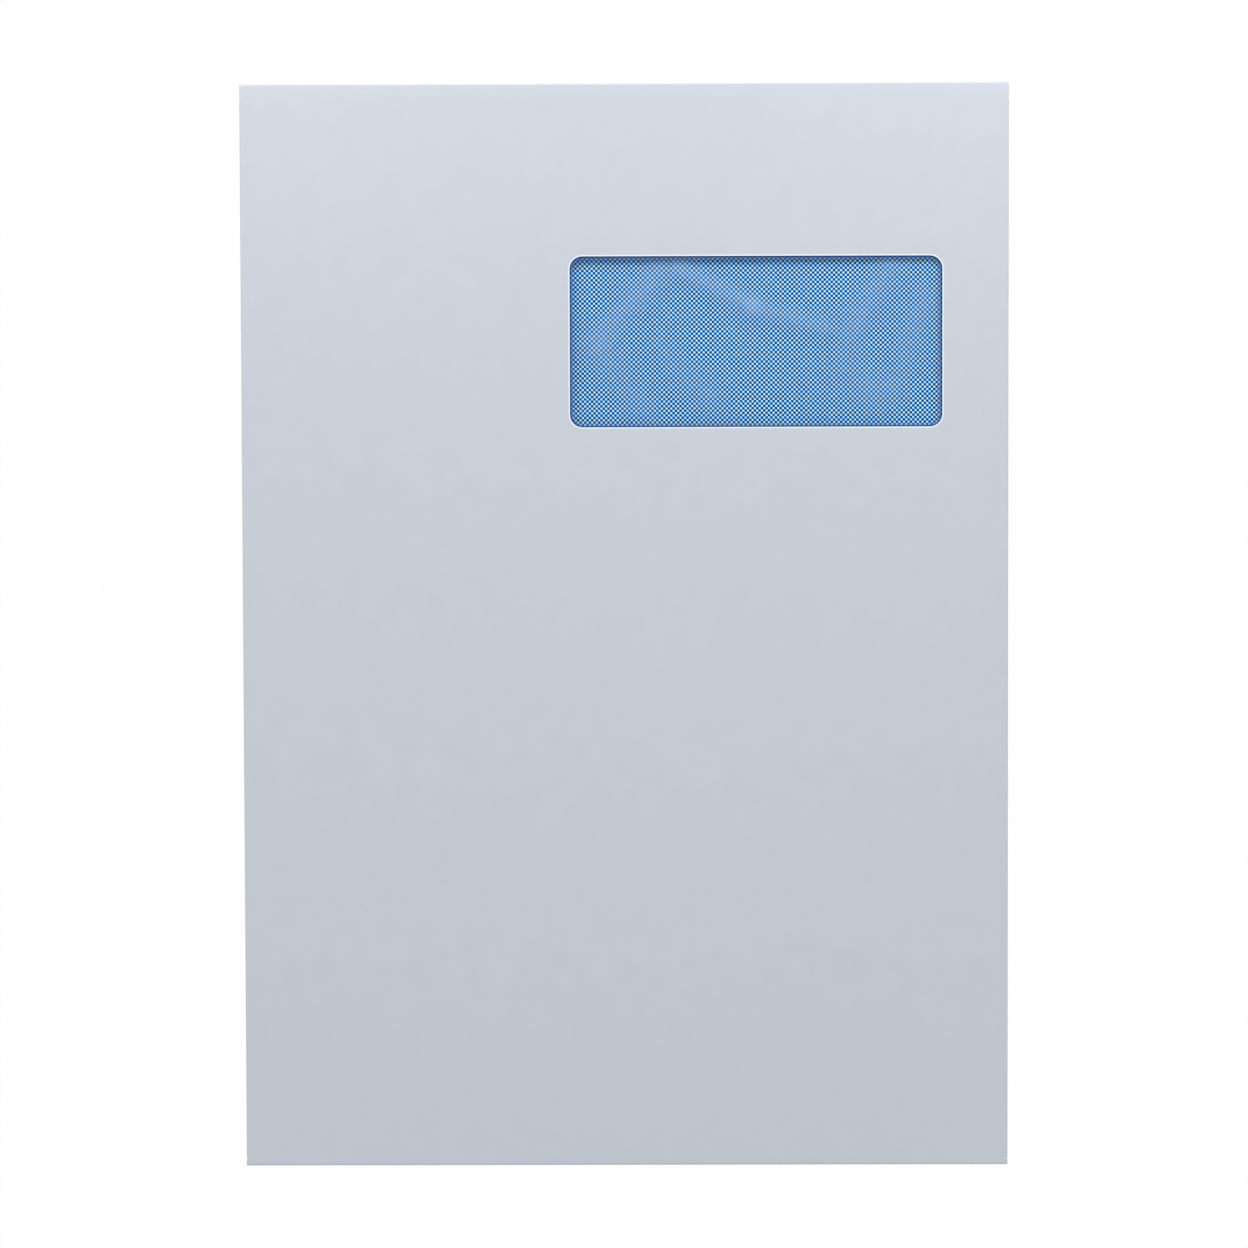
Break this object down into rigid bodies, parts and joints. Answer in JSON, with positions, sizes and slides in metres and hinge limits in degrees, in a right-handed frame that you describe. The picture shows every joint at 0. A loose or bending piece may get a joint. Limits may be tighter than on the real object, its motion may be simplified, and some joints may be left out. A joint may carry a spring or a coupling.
{
  "type": "window envelope",
  "caption": "Flat portrait pocket envelope with a film window at the upper right, security-tinted inside, glued side seams and a peel-and-seal flap folded behind.",
  "frame": {"origin": "middle of the envelope's underside, on the table that it lies on", "axes": "+X to the reader's right across the address face, +Y towards the flap end, +Z out of the address face"},
  "size_m": [0.229, 0.324, 0.0024],
  "materials": {
    "paper": "smooth uncoated white paper with a cool cast, printed with a blue security tint on its inner side",
    "film": "clear thin film, slightly creased",
    "glue": "dried thin glue line",
    "adhesive": "tacky hot-melt strip",
    "liner": "siliconised release paper"
  },
  "bodies": {
    "root": {"envelope_blank": "paper", "window_film": "film", "window_glue_frame": "glue", "side_seam_glue_left": "glue", "side_seam_glue_right": "glue", "seal_adhesive_strip": "adhesive", "release_liner": "liner"}
  },
  "joints": []
}
